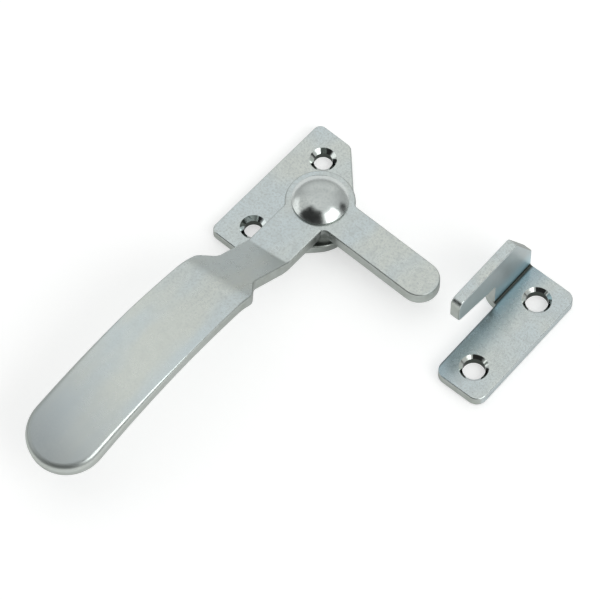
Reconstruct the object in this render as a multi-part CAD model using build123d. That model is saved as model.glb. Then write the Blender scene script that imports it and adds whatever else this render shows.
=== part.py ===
from build123d import *
from math import asin, cos, degrees, hypot, pi, radians, sin, sqrt
import os

# Over centre latch of bright zinc plated steel, lying as it is screwed down: a base plate with a
# turning lever riveted to it, and the loose keeper beside it that the lever's tongue hooks under.
# Frame: millimetres, the origin on the mounting face at the pivot's axis, +Z up off the mounting
# face, +X along the tongue of the closed lever, and the handle towards -Y.

# --- Sheet, arrises and fits ------------------------------------------------------------------
sheet_thickness = 3.0       # base plate and keeper
lever_thickness = 4.0
arris_round = 0.5           # tumbled edges of every pressed piece
pivot_clearance = 0.05      # lever bore on the rivet's shank, all round
seat_clearance = 0.02       # plate and spacer bores on the shank, all round

# --- Base plate: a long straight back edge and two sides drawn in to a round nose --------------
plate_length = 43.0         # along Y
plate_back_x = -19.0
plate_shoulder_x = -8.1     # where the short ends stop and the sides start to draw in
nose_x = -1.3
nose_radius = 10.0
plate_back_corner = 2.0
plate_shoulder_corner = 2.5
plate_hole_x = -10.9
plate_hole_spacing = 27.3
plate_hole_diameter = 5.0
plate_sink_diameter = 7.2

# --- Pivot: spacer washer and dome headed rivet -------------------------------------------------
spacer_height = 4.3
spacer_diameter = 16.0
shank_diameter = 8.0
head_diameter = 14.8
head_lip = 0.6              # short upright rim under the dome
head_height = 3.8
tail_flare = 1.5            # tail set into a countersink under the plate, past the shank all round

# --- Lever: hub, tongue, arm, raised neck and paddle --------------------------------------------
hub_radius = 9.15
tongue_width = 10.6
tongue_offset = -0.5        # middle of the tongue, along Y
tongue_reach = 39.4
arm_width = 12.3
inner_corner = 2.0          # between the arm and the tongue
hub_corner = 1.2            # where the hub runs into the arm and the tongue
neck_start = 20.0           # distance out from the pivot at which the top face turns up
neck_angle = 30.0
bend_skew = 6.5             # the bends are a little out of square with the arm
lower_bend_inside = 3.0
upper_bend_outside = 14.0
crown_distance = 61.7       # highest point of the arched paddle
paddle_rise = 13.05         # its top face there, above the arm's
arch_radius = 172.0
shoulder_start = 32.6
shoulder_end = 36.9
shoulder_round = 3.2
paddle_width = 19.7         # at distance paddle_width_at
paddle_width_at = 50.0
paddle_tip_width = 21.2
paddle_tip_centre = 95.7
paddle_edge_roll = 2.0      # upper arris at the tip, growing from arris_round at the crown
paddle_camber_radius = 80.0  # across the tip; the crown is flat
paddle_stations = 5

# --- Keeper: a plate with one long edge folded up into a hooked flange --------------------------
keeper_gap = 8.15           # the loose keeper lies this far beyond the tongue's tip
keeper_y = 5.27
keeper_turn = 1.5           # degrees about Z
keeper_length = 40.4
keeper_edge_x = 7.45        # free long edge, from the keeper's middle
flange_inside_x = -7.8      # inner face of the upright flange
hook_depth = 9.9            # of the flange, above the slot's roof
flange_bend_inside = 0.5
flange_cut_across = 6.8     # sloping cut at the flange's far top corner, along Y
flange_cut_down = 11.6      # and down
keeper_corner = 3.0
keeper_hole_spacing = 25.7
keeper_hole_diameter = 6.0
keeper_sink_diameter = 7.7
slot_end_y = 5.2            # blind end of the slot that takes the tongue
tongue_clearance = 0.4      # between the tongue and the slot's roof
hook_end_y = -9.9
hook_ramp_start_y = 1.0     # from here the underside rises to the mouth
mouth_rise = 2.2            # of the hook's underside at the mouth, above the roof
hook_end_round = 2.0
hook_lip_round = 1.0
slot_root_round = 1.0
flange_cut_round = 1.0
keeper_arris_round = 0.4    # smaller than the fold's inner radius

# --- Sizes that follow from others --------------------------------------------------------------
lever_under = sheet_thickness + spacer_height
lever_top = lever_under + lever_thickness
head_base = lever_top
tail_diameter = shank_diameter + tail_flare * 2
crown_height = lever_top + paddle_rise
slot_roof = lever_top + tongue_clearance
hook_mouth_height = slot_roof + mouth_rise
flange_height = slot_roof + hook_depth
keeper_x = tongue_reach + keeper_gap + sheet_thickness - flange_inside_x


def sunk_hole(x, y, thickness, hole_diameter, sink_diameter):
    """Screw hole through a plate on the ground, countersunk at 90 degrees from above."""
    depth = (sink_diameter - hole_diameter) / 2
    hole = Pos(x, y, thickness / 2) * Cylinder(hole_diameter / 2, thickness * 2)
    sink = Pos(x, y, thickness - depth / 2) * Cone(hole_diameter / 2, sink_diameter / 2, depth)
    return hole + sink


def round_perimeter(solid, radius, skip=()):
    """Round the arrises along a pressed sheet's upright sides; faces in skip are left sharp."""
    out_of_plumb = 0.01
    upright = [f for f in solid.faces() if abs(f.normal_at().Z) < out_of_plumb and f not in skip]
    on_skip = [e for f in skip for e in f.edges()]
    edges = [e for f in upright for e in f.edges()]
    arrises = [e for e in edges if edges.count(e) == 1 and e not in on_skip]
    return fillet(arrises, radius)


def corner_fillet(face, corners):
    """Fillet each corner of a flat outline that lies nearest to a given point."""
    for x, y, radius in corners:
        corner = face.vertices().sort_by_distance((x, y, 0))[0]
        face = fillet(corner, radius)
    return face


def make_base_plate():
    half = plate_length / 2
    # the side is the tangent from the shoulder's corner to the nose circle
    to_nose = nose_x - plate_shoulder_x
    reach = hypot(to_nose, half)
    turn = asin(nose_radius / reach) + asin(to_nose / reach)
    touch = Vector(nose_x + nose_radius * cos(turn), nose_radius * sin(turn))
    body = Polygon(
        (plate_back_x, -half),
        (plate_shoulder_x, -half),
        (touch.X, -touch.Y),
        (touch.X, touch.Y),
        (plate_shoulder_x, half),
        (plate_back_x, half),
        align=None,
    )
    outline = (Sketch() + body + Pos(nose_x, 0) * Circle(nose_radius)).face()
    outline = corner_fillet(
        outline,
        [(plate_back_x, side * half, plate_back_corner) for side in (1, -1)]
        + [(plate_shoulder_x, side * half, plate_shoulder_corner) for side in (1, -1)],
    )
    plate = extrude(outline, sheet_thickness)
    plate = round_perimeter(plate, arris_round)
    for side in (1, -1):
        plate -= sunk_hole(
            plate_hole_x,
            side * plate_hole_spacing / 2,
            sheet_thickness,
            plate_hole_diameter,
            plate_sink_diameter,
        )
    bore = shank_diameter / 2 + seat_clearance
    plate -= Pos(0, 0, sheet_thickness / 2) * Cylinder(bore, sheet_thickness * 2)
    tail_depth = (tail_diameter - shank_diameter) / 2
    plate -= Pos(0, 0, tail_depth / 2) * Cone(tail_diameter / 2 + seat_clearance, bore, tail_depth)
    return plate


def make_spacer():
    ring = Cylinder(spacer_diameter / 2, spacer_height) - Cylinder(
        shank_diameter / 2 + seat_clearance, spacer_height
    )
    return Pos(0, 0, sheet_thickness + spacer_height / 2) * ring


def make_rivet():
    head = head_diameter / 2
    shank = shank_diameter / 2
    tail_depth = (tail_diameter - shank_diameter) / 2
    dome_top = head_base + head_height
    dome_start = head_base + head_lip
    rise = head_height - head_lip
    dome_radius = (head**2 + rise**2) / (2 * rise)
    half_angle = asin(head / dome_radius) / 2
    dome_mid = (dome_radius * sin(half_angle), dome_top - dome_radius * (1 - cos(half_angle)))
    with BuildSketch(Plane.XZ) as section:
        with BuildLine():
            Line((0, 0), (tail_diameter / 2, 0))
            Line((tail_diameter / 2, 0), (shank, tail_depth))
            Line((shank, tail_depth), (shank, head_base))
            Line((shank, head_base), (head, head_base))
            Line((head, head_base), (head, dome_start))
            ThreePointArc((head, dome_start), dome_mid, (0, dome_top))
            Line((0, dome_top), (0, 0))
        make_face()
    return revolve(section.sketch, Axis.Z)


def arch_point(distance):
    """Top of the paddle's middle line at a distance out from the pivot: height and slope."""
    slope = -asin((distance - crown_distance) / arch_radius)
    return crown_height - arch_radius * (1 - cos(slope)), slope


def paddle_half_width(distance):
    growth = (paddle_tip_width - paddle_width) / 2 / (paddle_tip_centre - paddle_width_at)
    return paddle_width / 2 + growth * (distance - paddle_width_at)


def make_lever_outline():
    """Plan of the hub, tongue, arm and the paddle as far as its crown."""
    tongue_round = tongue_width / 2
    tongue_run = tongue_reach - tongue_round
    tongue = Pos(tongue_run / 2, tongue_offset) * Rectangle(tongue_run, tongue_width)
    tip = Pos(tongue_run, tongue_offset) * Circle(tongue_round)
    arm = arm_width / 2
    crown = paddle_half_width(crown_distance)
    shoulder = paddle_half_width(shoulder_end)
    handle = Polygon(
        (-arm, 0),
        (-arm, -shoulder_start),
        (-shoulder, -shoulder_end),
        (-crown, -crown_distance),
        (crown, -crown_distance),
        (shoulder, -shoulder_end),
        (arm, -shoulder_start),
        (arm, 0),
        align=None,
    )
    outline = (Sketch() + Circle(hub_radius) + tongue + tip + handle).face()
    upper = tongue_offset + tongue_round
    lower = tongue_offset - tongue_round
    hub_to_tongue = sqrt(hub_radius**2 - upper**2)
    hub_to_arm = sqrt(hub_radius**2 - arm**2)
    return corner_fillet(
        outline,
        [
            (arm, lower, inner_corner),
            (hub_to_tongue, upper, hub_corner),
            (-arm, -hub_to_arm, hub_corner),
        ]
        + [(side * arm, -shoulder_start, shoulder_round) for side in (1, -1)]
        + [(side * shoulder, -shoulder_end, shoulder_round) for side in (1, -1)],
    )


def make_lever_band():
    """The sheet seen from its side: flat arm, bend, sloping neck, bend and the arch to its crown."""
    rise = radians(neck_angle)
    along = (cos(rise), sin(rise))
    # first bend, tangent to the flat and to the neck; its centre is above the sheet
    setback = lower_bend_inside * sin(rise / 2) / cos(rise / 2)
    low_centre = (neck_start - setback, lever_top + lower_bend_inside)
    # second bend, tangent to the neck's line and inside the arch; its centre is below the sheet
    offset = (
        neck_start + upper_bend_outside * along[1] - crown_distance,
        lever_top - upper_bend_outside * along[0] - (crown_height - arch_radius),
    )
    reach = arch_radius - upper_bend_outside
    half_b = offset[0] * along[0] + offset[1] * along[1]
    run = -half_b + sqrt(half_b**2 - offset[0] ** 2 - offset[1] ** 2 + reach**2)
    high_centre = (
        neck_start + run * along[0] + upper_bend_outside * along[1],
        lever_top + run * along[1] - upper_bend_outside * along[0],
    )
    arch_centre = (crown_distance, crown_height - arch_radius)
    join = asin((crown_distance - high_centre[0]) / reach)

    def on_circle(centre, radius, angle):
        """Point at an angle from straight up, leaning back towards the pivot."""
        return (centre[0] - radius * sin(angle), centre[1] + radius * cos(angle))

    def face_line(depth):
        """Corner points and arc middles of one face of the sheet, depth below the top face."""
        low = -(lower_bend_inside + depth)
        high = upper_bend_outside - depth
        arch = arch_radius - depth
        return [
            (-tongue_width, lever_top - depth),
            on_circle(low_centre, low, 0),
            on_circle(low_centre, low, rise / 2),
            on_circle(low_centre, low, rise),
            on_circle(high_centre, high, rise),
            on_circle(high_centre, high, (rise + join) / 2),
            on_circle(high_centre, high, join),
            on_circle(arch_centre, arch, join / 2),
            on_circle(arch_centre, arch, 0),
            on_circle(arch_centre, arch, -join / 4),
            on_circle(arch_centre, arch, -join / 2),
        ]

    side = Plane(origin=(0, 0, 0), x_dir=(0, -1, 0), z_dir=(-1, 0, 0))
    with BuildSketch(side) as section:
        with BuildLine():
            for depth in (0, lever_thickness):
                p = face_line(depth)
                Line(p[0], p[1])
                ThreePointArc(p[1], p[2], p[3])
                Line(p[3], p[4])
                ThreePointArc(p[4], p[5], p[6])
                ThreePointArc(p[6], p[7], p[8])
                ThreePointArc(p[8], p[9], p[10])
            top, under = face_line(0), face_line(lever_thickness)
            Line(top[0], under[0])
            Line(top[-1], under[-1])
        make_face()
    band = extrude(section.sketch, tongue_reach * 2, both=True)
    turn_at = Axis((0, -neck_start, 0), (0, 0, 1))
    return band.rotate(turn_at, bend_skew)


def paddle_plane(distance):
    """Plane square to the paddle's middle line, its origin on the top face; y is out of the sheet."""
    height, slope = arch_point(distance)
    return Plane(
        origin=(0, -distance, height), x_dir=(1, 0, 0), z_dir=(0, -cos(slope), sin(slope))
    )


def paddle_section(distance):
    """Outline of the paddle between its crown and its tip, cambered and with rolled upper edges."""
    share = (distance - crown_distance) / (paddle_tip_centre - crown_distance)
    half = paddle_half_width(distance)
    roll = arris_round + (paddle_edge_roll - arris_round) * share
    # the camber grows evenly out of the flat crown, and its centre comes up from far below
    upper = paddle_camber_radius / share
    under = upper - lever_thickness
    roll_y = sqrt((upper - roll) ** 2 - (half - roll) ** 2) - upper
    lip_y = sqrt((under + arris_round) ** 2 - (half - arris_round) ** 2) - upper
    lean_up = asin((half - roll) / (upper - roll))
    lean_low = asin((half - arris_round) / (under + arris_round))
    mid_up = (pi / 2 + lean_up) / 2
    mid_low = (pi / 2 + lean_low) / 2
    right = {
        "upper": (upper * sin(lean_up), upper * cos(lean_up) - upper),
        "roll_mid": (half - roll + roll * sin(mid_up), roll_y + roll * cos(mid_up)),
        "roll_end": (half, roll_y),
        "lip": (half, lip_y),
        "lip_mid": (
            half - arris_round + arris_round * cos(mid_low - lean_low),
            lip_y - arris_round * sin(mid_low - lean_low),
        ),
        "under": (under * sin(lean_low), under * cos(lean_low) - upper),
    }
    left = {name: (-x, y) for name, (x, y) in right.items()}
    with BuildSketch(paddle_plane(distance)) as section:
        with BuildLine():
            ThreePointArc(left["upper"], (0, 0), right["upper"])
            ThreePointArc(left["under"], (0, -lever_thickness), right["under"])
            for side in (left, right):
                ThreePointArc(side["upper"], side["roll_mid"], side["roll_end"])
                Line(side["roll_end"], side["lip"])
                ThreePointArc(side["lip"], side["lip_mid"], side["under"])
        make_face()
    return section.sketch.face()


def half_of(section, plane, side):
    """The half of a section to one side of the middle line."""
    window = Pos(side * paddle_tip_width, 0) * Rectangle(paddle_tip_width * 2, lever_thickness * 6)
    return (section & plane * window).face()


def make_lever():
    outline = make_lever_outline()
    front = extrude(outline, crown_height + lever_thickness) & make_lever_band()
    front = front.solid()
    crown_face = front.faces().sort_by(Axis.Y)[0]
    front = round_perimeter(front, arris_round, skip=[crown_face])
    crown_face = front.faces().sort_by(Axis.Y)[0]

    # lofted from the crown's own end face to the tip, in two halves that meet on the middle line,
    # so that the round end can turn about an edge that both halves have
    run = (paddle_tip_centre - crown_distance) / (paddle_stations - 1)
    distances = [crown_distance + run * i for i in range(1, paddle_stations)]
    sections = [crown_face, *[paddle_section(distance) for distance in distances]]
    planes = [paddle_plane(distance) for distance in [crown_distance, *distances]]
    halves = [
        [half_of(section, plane, side) for section, plane in zip(sections, planes)]
        for side in (1, -1)
    ]
    middle_line = Axis(planes[-1].origin, planes[-1].y_dir)
    half_turn = -180
    tip = revolve(halves[0][-1], middle_line, half_turn)
    lever = front + loft(halves[0]) + loft(halves[1]) + tip
    bore = shank_diameter / 2 + pivot_clearance
    return lever - Pos(0, 0, lever_under) * Cylinder(bore, lever_thickness * 3)


def make_keeper_section():
    """The keeper seen end on: the plate, the fold and the upright flange."""
    outside_x = flange_inside_x - sheet_thickness
    bend_outside = flange_bend_inside + sheet_thickness
    bend_x = flange_inside_x + flange_bend_inside
    bend_top = sheet_thickness + flange_bend_inside
    # Plane.XZ looks along +Y, so its own x is +X and its y is +Z
    with BuildSketch(Plane.XZ) as section:
        with BuildLine():
            Polyline((bend_x, 0), (keeper_edge_x, 0), (keeper_edge_x, sheet_thickness))
            Line((keeper_edge_x, sheet_thickness), (bend_x, sheet_thickness))
            inner = CenterArc((bend_x, bend_top), flange_bend_inside, 180, 90)
            Line(inner @ 0, (flange_inside_x, flange_height))
            Line((flange_inside_x, flange_height), (outside_x, flange_height))
            outer = CenterArc((bend_x, bend_top), bend_outside, 180, 90)
            Line((outside_x, flange_height), outer @ 0)
        make_face()
    return section.sketch


def make_flange_outline():
    """The flange seen square on, in Y and Z: the hook over its slot and the sloping far corner."""
    half = keeper_length / 2
    beyond = sheet_thickness
    side = Plane(origin=(0, 0, 0), x_dir=(0, 1, 0), z_dir=(1, 0, 0))
    outline = Polygon(
        (slot_end_y, -beyond),
        (half + beyond, -beyond),
        (half + beyond, flange_height - flange_cut_down),
        (half, flange_height - flange_cut_down),
        (half - flange_cut_across, flange_height),
        (half - flange_cut_across, flange_height + beyond),
        (hook_end_y, flange_height + beyond),
        (hook_end_y, hook_mouth_height),
        (hook_ramp_start_y, slot_roof),
        (slot_end_y, slot_roof),
        align=None,
    )
    return side * outline


def make_keeper():
    """The folded keeper in its own frame, then laid where it rests beside the latch."""
    half = keeper_length / 2
    relief_x = flange_inside_x + flange_bend_inside
    body = extrude(make_keeper_section(), half, both=True)
    reach = keeper_edge_x * 2
    kept = extrude(make_flange_outline(), -reach) + Pos(relief_x + reach, 0, 0) * Box(
        reach * 2, keeper_length * 2, flange_height * 4
    )
    body = (body & kept).solid()

    plate_middle = sheet_thickness / 2
    plan_corners = [(keeper_edge_x, half), (keeper_edge_x, -half), (relief_x, -half)]
    upright = body.edges().filter_by(Axis.Z)
    body = fillet(
        [upright.sort_by_distance((x, y, plate_middle))[0] for x, y in plan_corners],
        keeper_corner,
    )
    flange_middle = flange_inside_x - sheet_thickness / 2
    for y, z, radius in [
        (hook_end_y, flange_height, hook_end_round),
        (hook_end_y, hook_mouth_height, hook_lip_round),
        (slot_end_y, slot_roof, slot_root_round),
        (half - flange_cut_across, flange_height, flange_cut_round),
        (half, flange_height - flange_cut_down, flange_cut_round),
    ]:
        across = body.edges().filter_by(Axis.X)
        body = fillet(across.sort_by_distance((flange_middle, y, z))[0], radius)

    # each skin's arris is one smooth chain round the plate, the fold and the hook, so rounding it
    # at the free long edge carries the round along all of it
    along = body.edges().filter_by(Axis.Y)
    chains = [along.sort_by_distance((keeper_edge_x, 0, z))[0] for z in (0, sheet_thickness)]
    body = fillet(chains, keeper_arris_round)

    for side in (1, -1):
        body -= sunk_hole(
            0,
            side * keeper_hole_spacing / 2,
            sheet_thickness,
            keeper_hole_diameter,
            keeper_sink_diameter,
        )
    return Pos(keeper_x, keeper_y, 0) * Rot(0, 0, keeper_turn) * body


if __name__ == "__main__":
    os.makedirs("parts", exist_ok=True)
    for name, solid in {
        "base_plate": make_base_plate(),
        "spacer_washer": make_spacer(),
        "pivot_rivet": make_rivet(),
        "lever": make_lever(),
        "keeper": make_keeper(),
    }.items():
        export_step(solid, f"parts/{name}.step")
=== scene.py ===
import math

import bpy
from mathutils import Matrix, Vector

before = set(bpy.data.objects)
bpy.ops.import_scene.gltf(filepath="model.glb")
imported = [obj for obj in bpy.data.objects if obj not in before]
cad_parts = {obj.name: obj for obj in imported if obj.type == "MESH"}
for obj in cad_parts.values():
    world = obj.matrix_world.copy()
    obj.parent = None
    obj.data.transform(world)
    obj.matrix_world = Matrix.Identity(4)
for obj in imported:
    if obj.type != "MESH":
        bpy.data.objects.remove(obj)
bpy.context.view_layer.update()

MM = 0.001
IMAGE_SIDE = 600

# --- Camera --------------------------------------------------------------------------------------
CAMERA_AZIMUTH = 41.395
CAMERA_ELEVATION = 60.387
CAMERA_DISTANCE = 1.2
FOCAL_PIXELS = 4626.05
PIVOT_PIXEL = (320.05, 222.80)  # where the pivot's foot falls in the picture
SENSOR = 36.0

# --- Studio --------------------------------------------------------------------------------------
# Brightness of the tent's wall low down and overhead, then each window in it:
# azimuth, half width, lowest and highest elevation, soft edge (degrees) and how far it changes the
# wall: a share taken away for a dark one, a level added for a lit one.
WALL_LOW, WALL_HIGH = 0.54, 0.80
DARK_WINDOWS = [(-82.0, 43.0, 21.0, 66.0, 3.5, 0.96), (44.0, 12.0, 12.0, 32.0, 3.5, 0.92)]
LIT_WINDOWS = [
    (-1.0, 25.0, 26.0, 54.0, 4.0, 2.6),
    (-146.0, 22.0, 8.0, 27.0, 3.0, 0.6),
    (131.0, 40.0, 12.0, 40.0, 5.0, 0.15),
]
FLOOR_COLOUR = (0.72, 0.72, 0.72, 1.0)
FLOOR_LIFT = 0.50
FLOOR_SIZE = 1.6
FLOOR_DROP = 0.15 * MM

# --- Zinc plate: tints of the broad faces, then duller ones where the finish is thinner, and painted shade ---
COOL_ZINC = (0.675, 0.750, 0.770, 1.0)
WARM_ZINC = (0.730, 0.765, 0.722, 1.0)
DULL_ZINC = (0.560, 0.595, 0.590, 1.0)
RIVET_ZINC = (0.710, 0.745, 0.725, 1.0)
TIP_SHADED_ZINC = (0.420, 0.455, 0.470, 1.0)     # painted shade towards the paddle's tip
CUT_ZINC = (0.425, 0.455, 0.425, 1.0)         # sheared and upright faces: a duller finish, darkened further with painted shade
# the paddle's cut faces, with less painted shade than the hub's
PADDLE_CUT_ZINC = (0.520, 0.550, 0.520, 1.0)
# the keeper's upright faces: the zinc darkened with painted shade
FLANGE_SHADED_ZINC = (0.600, 0.660, 0.670, 1.0)
# the spacer's sides, painted dark with the shade under the hub
SPACER_SHADED_ZINC = (0.180, 0.195, 0.180, 1.0)
EDGE_SHADED_ZINC = (0.300, 0.320, 0.305, 1.0)       # painted shade on the arrises, the rivet's rim and the undersides
FOLD_SHADED_ZINC = (0.300, 0.430, 0.500, 1.0)        # painted bluish shade round the keeper's fold, on its foot
FOLD_SIDE_SHADED_ZINC = (0.590, 0.880, 0.980, 1.0)   # and a bluer cast of that painted shade on its flange
PAINTED_SHADE_ZINC = (0.070, 0.080, 0.072, 1.0)       # painted shade in the fold, the screw holes and under the hub
EDGE_TINT = 0.55                              # reflection left at a grazing angle
HEAD_EDGE_TINT = 0.85                         # and on the rivet's head
CUT_ROUGHNESS = 0.38
TIP_ROUGHNESS = 0.58
SUNK_ROUGHNESS = 0.05

# how many clouds, stains, grains and dents there are to a metre, and how far the dents go in
CLOUD_SCALE, STAIN_SCALE, GRAIN_SCALE, DENT_SCALE = 62.0, 430.0, 1700.0, 900.0
DENT_STRENGTH, DENT_DEPTH = 0.3, 0.02 * MM
LEVER_STRETCH = (1.5, 0.5, 1.0)               # its clouds are drawn out along the handle

# lean of a face, from 0 upright to 1 lying flat: painted shade, on cut faces with their duller finish,
# fades out over each of these ranges
STEEP_FACE = (0.50, 0.66)
STEEP_RIM = (0.64, 0.69)
ARRIS_LEAN = (0.72, 0.84)
SLOPE_SHADE_LEAN = (0.87, 0.985)

# --- Places of those finishes and of the painted shade, in the frame -----------------------------
PADDLE_TO_HUB = (-60.0 * MM, -40.0 * MM)      # along Y, from the paddle's finish and lighter painted shade to the hub's
TIP_SHADE_REACH = (-104.0 * MM, -62.0 * MM)     # along Y, from full painted shade and roughness to none
TIP_SHADE_SLANT = 0.36                          # how much sooner it starts on the left side
TIP_SHADE_DRIFT = 12.0 * MM                     # how far clouds move its edge
PIVOT_SHADE_REACH = (10.5 * MM, 15.0 * MM)         # distance from the pivot of the painted shade on the lever's cut faces
HUB_SHADE_REACH = (7.5 * MM, 10.2 * MM)             # distance from the pivot of the plate's painted shade under the hub
KEEPER_TURN = 1.5                             # how the loose keeper lies
KEEPER_FOLD = (50.92 * MM, 3.25 * MM)         # inside of its fold in x and z, once turned square
# how far the painted shade reaches from the fold, and the dark painted line in its crease
FOLD_SHADE_REACH = 9.0 * MM
FOLD_SHADE_LINE = (0.3 * MM, 1.0 * MM)
# middle between a piece's two screw holes, half their spacing and the radius of the countersink
PLATE_HOLES = (-10.90 * MM, 0.0, 13.65 * MM, 3.62 * MM)
KEEPER_HOLES = (58.468 * MM, 3.741 * MM, 12.85 * MM, 3.87 * MM)
SINK_EDGE = 0.1 * MM


def make_camera():
    azimuth, elevation = math.radians(CAMERA_AZIMUTH), math.radians(CAMERA_ELEVATION)
    right = Vector((math.cos(azimuth), math.sin(azimuth), 0.0))
    back = Vector((
        math.sin(azimuth) * math.cos(elevation),
        -math.cos(azimuth) * math.cos(elevation),
        math.sin(elevation),
    ))
    up = back.cross(right)
    metres_per_pixel = CAMERA_DISTANCE / FOCAL_PIXELS
    across = (PIVOT_PIXEL[0] - IMAGE_SIDE / 2) * metres_per_pixel
    rise = (IMAGE_SIDE / 2 - PIVOT_PIXEL[1]) * metres_per_pixel
    data = bpy.data.cameras.new("camera")
    data.sensor_width = SENSOR
    data.lens = FOCAL_PIXELS * SENSOR / IMAGE_SIDE
    data.clip_start, data.clip_end = 0.05, 20.0
    camera = bpy.data.objects.new("camera", data)
    camera.location = back * CAMERA_DISTANCE - right * across - up * rise
    camera.rotation_mode = "QUATERNION"
    camera.rotation_quaternion = (-back).to_track_quat("-Z", "Y")
    bpy.context.scene.collection.objects.link(camera)
    bpy.context.scene.camera = camera


class Nodes:
    """Short ways to add and join shader nodes in one tree."""

    def __init__(self, tree):
        self.tree = tree
        tree.nodes.clear()

    def add(self, kind, **settings):
        node = self.tree.nodes.new(kind)
        for key, value in settings.items():
            setattr(node, key, value)
        return node

    def plug(self, value, socket):
        if isinstance(value, bpy.types.NodeSocket):
            self.tree.links.new(value, socket)
        else:
            socket.default_value = value

    def math(self, operation, *values, clamp=False):
        node = self.add("ShaderNodeMath", operation=operation, use_clamp=clamp)
        for value, socket in zip(values, node.inputs):
            self.plug(value, socket)
        return node.outputs[0]

    def ramp(self, value, low, high, out_low=0.0, out_high=1.0, smooth=True):
        node = self.add("ShaderNodeMapRange", interpolation_type="SMOOTHSTEP" if smooth else "LINEAR")
        for key, given in zip(range(5), (value, low, high, out_low, out_high)):
            self.plug(given, node.inputs[key])
        return node.outputs[0]

    def mix(self, factor, first, second):
        node = self.add("ShaderNodeMix", data_type="RGBA")
        self.plug(factor, node.inputs["Factor"])
        pair = [socket for socket in node.inputs if socket.enabled and socket.name in ("A", "B")]
        self.plug(first, pair[0])
        self.plug(second, pair[1])
        return next(socket for socket in node.outputs if socket.enabled)

    def noise(self, vector, scale, detail=3.0, roughness=0.5):
        node = self.add("ShaderNodeTexNoise")
        self.plug(vector, node.inputs["Vector"])
        node.inputs["Scale"].default_value = scale
        node.inputs["Detail"].default_value = detail
        node.inputs["Roughness"].default_value = roughness
        return node.outputs["Fac"]

    def split(self, vector):
        node = self.add("ShaderNodeSeparateXYZ")
        self.plug(vector, node.inputs[0])
        return tuple(node.outputs)

    def mapped(self, vector, kind, value):
        node = self.add("ShaderNodeMapping")
        self.plug(vector, node.inputs["Vector"])
        node.inputs[kind].default_value = value
        return node.outputs[0]

    def distance(self, first, second):
        squares = [self.math("MULTIPLY", value, value) for value in (first, second)]
        return self.math("SQRT", self.math("ADD", *squares))


def make_studio():
    """A pale tent round the object: even walls, three lit windows and two dark ones."""
    world = bpy.data.worlds.new("studio")
    bpy.context.scene.world = world
    world.use_nodes = True
    n = Nodes(world.node_tree)
    x, y, z = n.split(n.add("ShaderNodeTexCoord").outputs["Generated"])
    azimuth = n.math("DEGREES", n.math("ARCTAN2", y, x))
    elevation = n.math("DEGREES", n.math("ARCSINE", z))

    def window(middle, half_width, low, high, edge):
        """1 inside a window of the sky, falling to 0 over its soft edge."""
        off = n.math("ABSOLUTE", n.math("WRAP", n.math("SUBTRACT", azimuth, middle), 180.0, -180.0))
        sideways = n.ramp(off, half_width - edge, half_width + edge, 1.0, 0.0)
        above = n.ramp(elevation, low - edge, low + edge)
        below = n.ramp(elevation, high - edge, high + edge, 1.0, 0.0)
        return n.math("MULTIPLY", sideways, n.math("MULTIPLY", above, below))

    level = n.ramp(elevation, 5.0, 70.0, WALL_LOW, WALL_HIGH)
    for *place, share in DARK_WINDOWS:
        kept = n.math("SUBTRACT", 1.0, n.math("MULTIPLY", window(*place), share))
        level = n.math("MULTIPLY", level, kept)
    for *place, added in LIT_WINDOWS:
        level = n.math("ADD", level, n.math("MULTIPLY", window(*place), added))
    background = n.add("ShaderNodeBackground")
    background.inputs["Color"].default_value = (0.985, 1.0, 0.99, 1.0)
    n.plug(level, background.inputs["Strength"])
    n.plug(background.outputs[0], n.add("ShaderNodeOutputWorld").inputs["Surface"])


def make_floor():
    side = FLOOR_SIZE / 2
    mesh = bpy.data.meshes.new("floor")
    corners = [(-side, -side), (side, -side), (side, side), (-side, side)]
    mesh.from_pydata([(x, y, -FLOOR_DROP) for x, y in corners], [], [(0, 1, 2, 3)])
    floor = bpy.data.objects.new("floor", mesh)
    bpy.context.scene.collection.objects.link(floor)
    material = bpy.data.materials.new("white_paper")
    material.use_nodes = True
    n = Nodes(material.node_tree)
    path = n.add("ShaderNodeLightPath").outputs
    seen = path["Is Camera Ray"]
    for ray in ("Is Glossy Ray", "Is Transmission Ray"):
        seen = n.math("MAXIMUM", seen, path[ray])
    paper = n.add("ShaderNodeBsdfDiffuse")
    paper.inputs["Color"].default_value = FLOOR_COLOUR
    glow = n.add("ShaderNodeEmission")
    n.plug(n.math("MULTIPLY", seen, FLOOR_LIFT), glow.inputs["Strength"])
    both = n.add("ShaderNodeAddShader")
    n.plug(paper.outputs[0], both.inputs[0])
    n.plug(glow.outputs[0], both.inputs[1])
    n.plug(both.outputs[0], n.add("ShaderNodeOutputMaterial").inputs["Surface"])
    mesh.materials.append(material)


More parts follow.
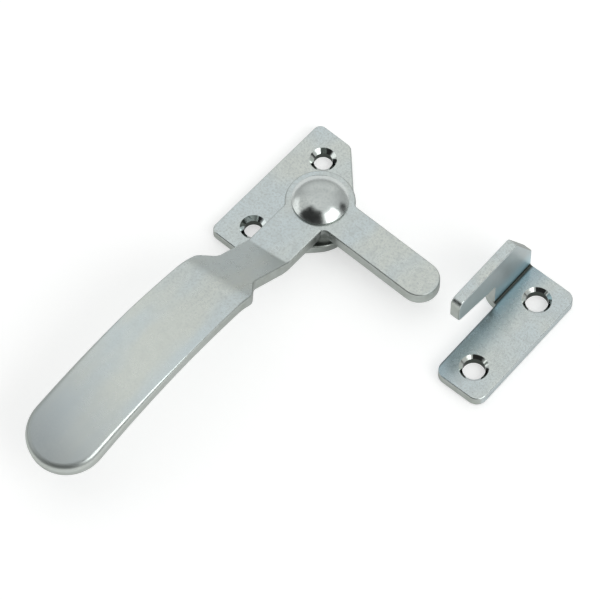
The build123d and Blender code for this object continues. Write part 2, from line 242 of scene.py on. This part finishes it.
class Zinc:
    """Bright zinc plate over tumbled steel, on one piece. It starts as the broad faces have it, clouded
    with faint blue and straw tints; the methods then dull it where the finish is thinner and paint
    shade onto its arrises, upright faces, undersides and holes."""

    def __init__(self, piece, roughness, tints=(COOL_ZINC, WARM_ZINC), cut=CUT_ZINC, steep=STEEP_FACE,
                 stretch=None, turn=0.0):
        self.material = bpy.data.materials.new(piece + "_zinc")
        self.material.use_nodes = True
        self.n = n = Nodes(self.material.node_tree)
        texture = n.add("ShaderNodeTexCoord").outputs
        self.place = place = texture["Object"]
        square = n.mapped(place, "Rotation", (0.0, 0.0, -math.radians(turn))) if turn else place
        self.x, self.y, self.z = n.split(square)
        drawn = n.mapped(place, "Scale", stretch) if stretch else place
        self.clouds = n.noise(drawn, CLOUD_SCALE, 2.0)
        self.stains = n.noise(place, STAIN_SCALE, 4.0, 0.6)
        self.grain = n.noise(place, GRAIN_SCALE, 3.0, 0.6)
        _, self.sideways, self.up = n.split(texture["Normal"])
        self.lean = n.math("ABSOLUTE", self.up)
        self.upright = n.ramp(self.lean, *steep, 1.0, 0.0)
        self.colour = n.mix(n.ramp(self.clouds, 0.36, 0.64), *tints)
        self.stained = n.ramp(self.stains, 0.42, 0.72, 0.0, 0.35)
        self.grained = n.ramp(self.grain, 0.42, 0.72, 0.0, 0.85)
        self.rough = n.ramp(self.stains, 0.3, 0.7, roughness * 0.85, roughness * 1.2)
        self.cut = cut
        self.clean = self.colour

    def tint(self, share, colour):
        self.colour = self.n.mix(share, self.colour, colour)

    def stain(self):
        """Dull specks and grain over the broad faces."""
        self.tint(self.stained, DULL_ZINC)
        self.tint(self.grained, DULL_ZINC)
        self.clean = self.colour

    def shade_edges_dull_cuts(self):
        """Painted shade on the arrises, and dull patches on the cut faces."""
        n = self.n
        self.cut = n.mix(n.ramp(self.stains, 0.35, 0.65, 0.0, 0.35), self.cut, DULL_ZINC)
        self.tint(n.ramp(self.lean, *ARRIS_LEAN, 0.62, 0.0), EDGE_SHADED_ZINC)

    def shear(self):
        """Cut and upright faces, a duller finish darkened with painted shade, and painted shade on the
        underside.
        """
        n = self.n
        self.tint(self.upright, self.cut)
        self.tint(n.ramp(self.up, -0.55, -0.10, 0.75, 0.0), EDGE_SHADED_ZINC)
        self.rough = n.math("MAXIMUM", self.rough, n.math("MULTIPLY", self.upright, CUT_ROUGHNESS))

    def sink(self, middle_x, middle_y, half, radius):
        """Two countersinks, turned bright, with painted shade in the hole below each."""
        n = self.n
        along = n.math("SUBTRACT", n.math("ABSOLUTE", n.math("SUBTRACT", self.y, middle_y)), half)
        away = n.distance(n.math("SUBTRACT", self.x, middle_x), along)
        sunk = n.ramp(away, radius, radius + SINK_EDGE, 1.0, 0.0)
        self.tint(sunk, n.mix(self.upright, self.clean, PAINTED_SHADE_ZINC))
        self.rough = n.ramp(sunk, 0.0, 1.0, self.rough, SUNK_ROUGHNESS)

    def finish(self, edge_tint=EDGE_TINT):
        n = self.n
        shader = n.add("ShaderNodeBsdfPrincipled")
        n.plug(self.colour, shader.inputs["Base Color"])
        n.plug(self.rough, shader.inputs["Roughness"])
        shader.inputs["Metallic"].default_value = 1.0
        shader.inputs["Specular Tint"].default_value = (edge_tint, edge_tint, edge_tint, 1.0)
        bump = n.add("ShaderNodeBump")
        bump.inputs["Strength"].default_value = DENT_STRENGTH
        bump.inputs["Distance"].default_value = DENT_DEPTH
        dents = n.noise(self.place, DENT_SCALE, 2.0)
        n.plug(n.math("ADD", dents, n.math("MULTIPLY", self.grain, 0.5)), bump.inputs["Height"])
        n.plug(bump.outputs[0], shader.inputs["Normal"])
        n.plug(shader.outputs[0], n.add("ShaderNodeOutputMaterial").inputs["Surface"])
        return self.material


def plate_zinc():
    zinc = Zinc("base_plate", 0.18)
    n = zinc.n
    zinc.stain()
    zinc.shade_edges_dull_cuts()
    zinc.shear()
    # painted shade: little light gets under the hub
    zinc.tint(n.ramp(n.distance(zinc.x, zinc.y), *HUB_SHADE_REACH, 0.9, 0.0), PAINTED_SHADE_ZINC)
    zinc.sink(*PLATE_HOLES)
    return zinc.finish()


def spacer_zinc():
    # its sides are painted dark with the shade under the hub
    zinc = Zinc("spacer_washer", 0.30, cut=SPACER_SHADED_ZINC)
    zinc.stain()
    zinc.shear()
    return zinc.finish()


def rivet_zinc():
    # its rim is darkened with painted shade
    zinc = Zinc("pivot_rivet", 0.19, (RIVET_ZINC, DULL_ZINC), EDGE_SHADED_ZINC, STEEP_RIM)
    zinc.stain()
    zinc.shear()
    return zinc.finish(HEAD_EDGE_TINT)


def lever_zinc():
    """The paddle is smoother than the hub; towards its tip and its left side it is rougher and darkened
    with painted shade.
    """
    zinc = Zinc("lever", 0.30, stretch=LEVER_STRETCH)
    n = zinc.n
    hub_end = n.ramp(zinc.y, *PADDLE_TO_HUB)
    smooth = n.math("ADD", n.math("MULTIPLY", hub_end, 0.7), 0.3)
    zinc.stained = n.math("MULTIPLY", zinc.stained, smooth)
    zinc.grained = n.math("MULTIPLY", zinc.grained, smooth)
    # painted shade, with more roughness, towards the tip and the left side
    aslant = n.math("ADD", zinc.y, n.math("MULTIPLY", zinc.x, TIP_SHADE_SLANT))
    reach = n.math("ADD", aslant, n.math("MULTIPLY", zinc.clouds, TIP_SHADE_DRIFT))
    tip_shade = n.ramp(reach, *TIP_SHADE_REACH, 0.85, 0.0)
    zinc.tint(tip_shade, TIP_SHADED_ZINC)
    zinc.rough = n.math("MAXIMUM", zinc.rough, n.math("MULTIPLY", tip_shade, TIP_ROUGHNESS))
    # faces that slope, such as the neck's, are darkened with painted shade
    zinc.tint(n.ramp(zinc.lean, *SLOPE_SHADE_LEAN, 0.42, 0.0), CUT_ZINC)
    # the paddle's cut faces get less painted shade than the hub's
    zinc.cut = n.mix(hub_end, PADDLE_CUT_ZINC, zinc.cut)
    # painted shade on the lever's cut faces in the corner under the hub
    pivot_shade = n.ramp(n.distance(zinc.x, zinc.y), *PIVOT_SHADE_REACH, 0.85, 0.0)
    zinc.cut = n.mix(pivot_shade, zinc.cut, PAINTED_SHADE_ZINC)
    zinc.stain()
    zinc.shade_edges_dull_cuts()
    zinc.shear()
    return zinc.finish()


def keeper_zinc():
    """The flange is rolled sheet on its broad sides and sheared at its ends; its upright faces and its
    fold are darkened with painted shade.
    """
    zinc = Zinc("keeper", 0.25, cut=FLANGE_SHADED_ZINC, turn=KEEPER_TURN)
    n = zinc.n
    sheared = n.ramp(n.math("ABSOLUTE", zinc.sideways), 0.35, 0.60)
    zinc.cut = n.mix(sheared, zinc.cut, CUT_ZINC)
    zinc.stain()
    zinc.shade_edges_dull_cuts()
    zinc.shear()
    # painted shade round the fold, on the foot and the flange, and a dark painted line in the crease
    fold_x, fold_z = KEEPER_FOLD
    away = n.distance(n.math("SUBTRACT", zinc.x, fold_x), n.math("SUBTRACT", zinc.z, fold_z))
    fold_shade = n.ramp(away, 0.0, FOLD_SHADE_REACH, 1.0, 0.0)
    on_foot = n.ramp(zinc.upright, 0.0, 1.0, 0.75, 0.0)
    zinc.tint(n.math("MULTIPLY", fold_shade, on_foot), FOLD_SHADED_ZINC)
    rolled = n.math("MULTIPLY", zinc.upright, n.ramp(sheared, 0.0, 1.0, 0.55, 0.0))
    zinc.tint(n.math("MULTIPLY", fold_shade, rolled), FOLD_SIDE_SHADED_ZINC)
    zinc.tint(n.ramp(away, *FOLD_SHADE_LINE, 1.0, 0.0), PAINTED_SHADE_ZINC)
    zinc.sink(*KEEPER_HOLES)
    return zinc.finish()


make_camera()
make_studio()
make_floor()

metals = {
    "base_plate": plate_zinc(),
    "spacer_washer": spacer_zinc(),
    "pivot_rivet": rivet_zinc(),
    "lever": lever_zinc(),
    "keeper": keeper_zinc(),
}
for name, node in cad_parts.items():
    node.data.materials[0] = metals[name]

bpy.context.scene.view_settings.view_transform = "Standard"
